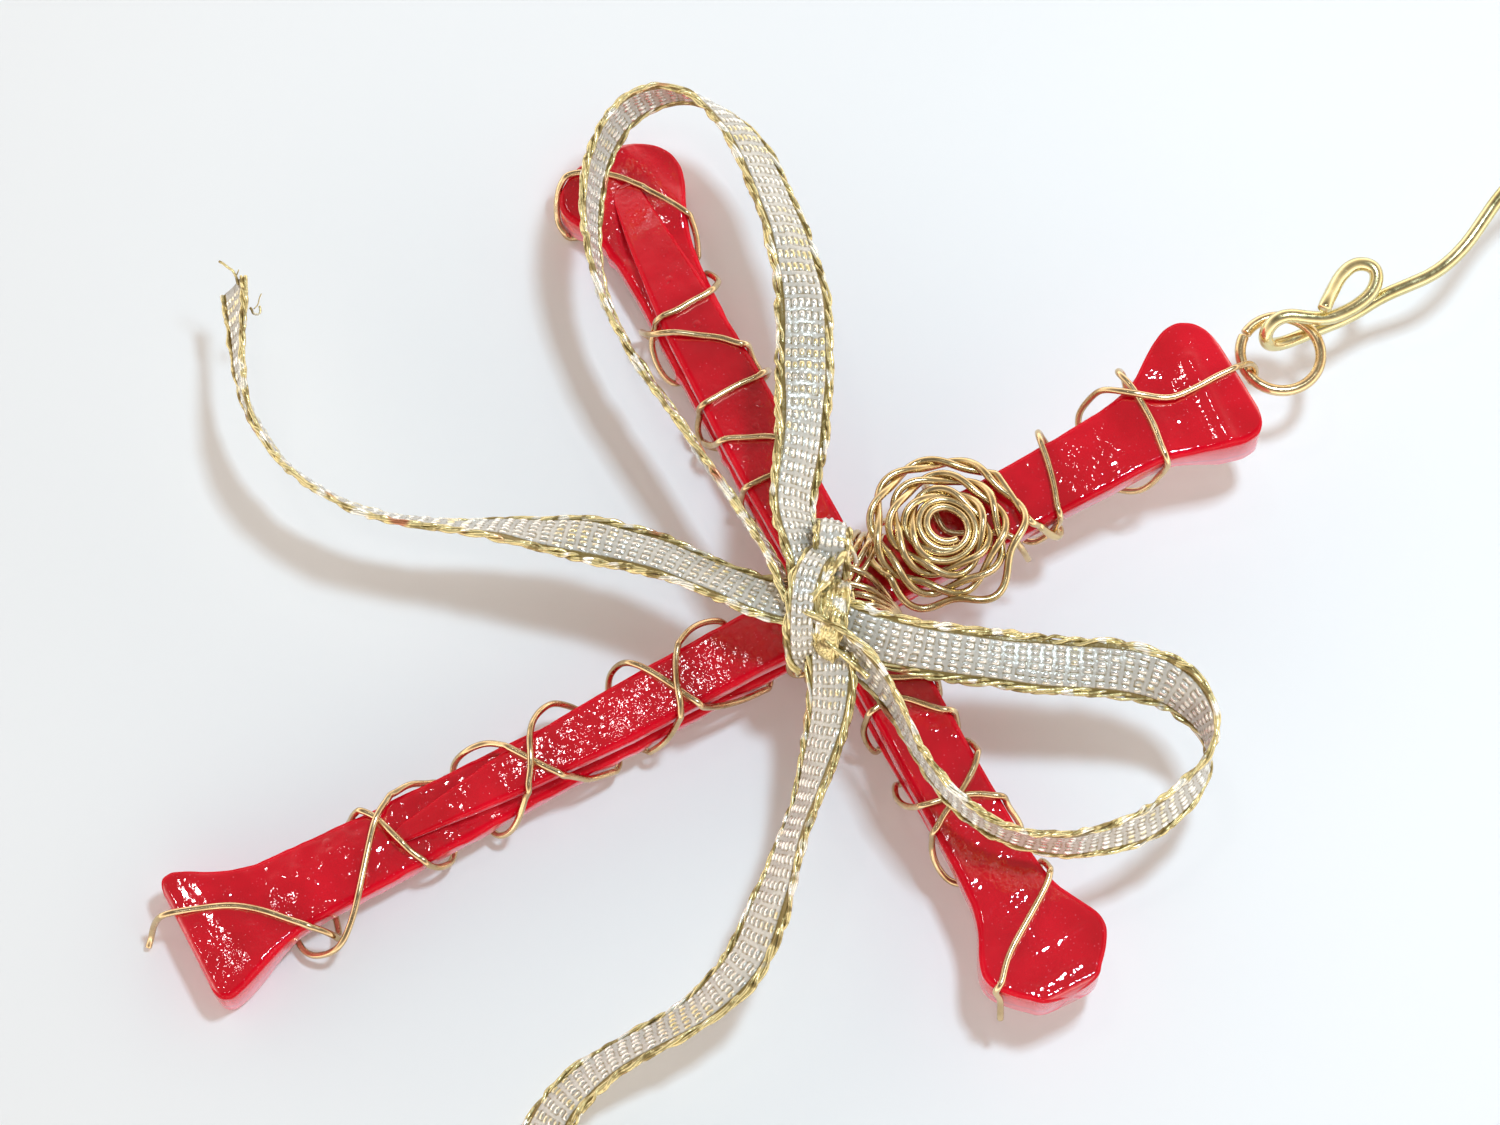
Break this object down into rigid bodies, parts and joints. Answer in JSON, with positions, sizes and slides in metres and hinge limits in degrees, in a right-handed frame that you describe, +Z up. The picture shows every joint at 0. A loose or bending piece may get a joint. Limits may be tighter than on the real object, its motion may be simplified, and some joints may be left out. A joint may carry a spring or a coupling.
{
  "type": "horseshoe nail cross ornament",
  "caption": "Small hanging cross of red painted horseshoe nails lashed with gold wire, with a coiled wire centre, a metallic ribbon bow, a ring and a wire hook.",
  "frame": {"origin": "middle of the bottom of the bounding box, on the surface that the ornament lies on", "axes": "+Y along the stem towards the hook, +Z up out of the face with the bow"},
  "size_m": [0.0638, 0.1048, 0.0122],
  "materials": {
    "red_paint": "thick glossy red enamel with light orange peel and fine sparkle",
    "binding_wire": "bright drawn gold coloured wire",
    "coil_wire": "bright drawn gold coloured wire, twisted in a pair",
    "jump_ring": "polished gold plate",
    "hook": "satin gold coating",
    "ribbon": "woven metallic ribbon, silver floats with gold edges"
  },
  "bodies": {
    "root": {"nail_foot": "red_paint", "nail_left": "red_paint", "nail_right": "red_paint", "nail_top": "red_paint", "wire_foot_arm": "binding_wire", "wire_left_arm": "binding_wire", "wire_right_arm": "binding_wire", "wire_top_arm": "binding_wire", "wire_centre": "binding_wire", "coil_strand_a": "coil_wire", "coil_strand_b": "coil_wire", "jump_ring": "jump_ring", "hook": "hook", "ribbon_bow": "ribbon"}
  },
  "joints": []
}
